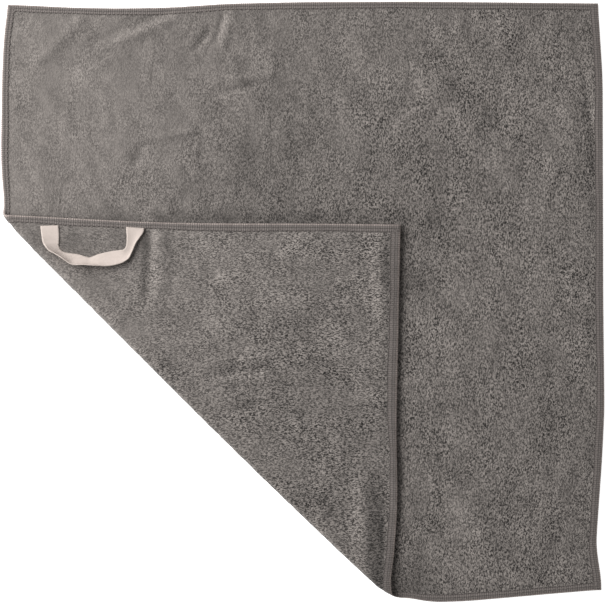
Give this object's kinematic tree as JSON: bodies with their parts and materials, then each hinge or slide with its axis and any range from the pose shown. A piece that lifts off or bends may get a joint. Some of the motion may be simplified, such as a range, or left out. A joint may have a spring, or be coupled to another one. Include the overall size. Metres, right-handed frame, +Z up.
{
  "type": "golf towel",
  "caption": "Square pile golf towel lying flat with one corner folded over, edged with a smooth hem and with a sewn-in tape hanging loop.",
  "frame": {"origin": "middle of the towel's footprint, on the surface it lies on", "axes": "+Z up out of the cloth, +Y towards the far hem, +X to the right; the folded corner comes from -X -Y"},
  "size_m": [0.4, 0.4, 0.0198],
  "materials": {
    "pile_cloth": "soft matt microfibre pile, grey-brown",
    "hem_strip": "smooth woven strip, grey-brown",
    "sewing_thread": "fine polyester thread, dark grey-brown",
    "loop_tape": "woven cream tape"
  },
  "bodies": {
    "towel": {"main_panel": "pile_cloth", "left_hem": "hem_strip", "right_hem": "hem_strip", "top_hem": "hem_strip", "bottom_hem": "hem_strip", "left_seam": "sewing_thread", "right_seam": "sewing_thread", "top_seam": "sewing_thread", "bottom_seam": "sewing_thread", "fold_roll": "pile_cloth", "left_hem_bend": "hem_strip", "bottom_hem_bend": "hem_strip"},
    "corner_flap": {"flap_panel": "pile_cloth", "flap_top_hem": "hem_strip", "flap_side_hem": "hem_strip", "flap_top_seam": "sewing_thread", "flap_side_seam": "sewing_thread", "loop_ends": "loop_tape"},
    "hanging_loop": {"loop_tape": "loop_tape"}
  },
  "joints": [
    {"name": "corner_fold", "type": "hinge", "parent": "towel", "child": "corner_flap", "pos_m": [-0.06866, -0.06866, 0.00415], "axis": [0.7071, -0.7071, 0], "range_deg": [0, 180], "deforming": ["fold_roll", "left_hem_bend", "bottom_hem_bend"]},
    {"name": "loop_swing", "type": "hinge", "parent": "corner_flap", "child": "hanging_loop", "pos_m": [-0.13967, 0.05102, 0.0088], "axis": [-0.9997, 0.0253, 0], "range_deg": [0, 160]}
  ]
}
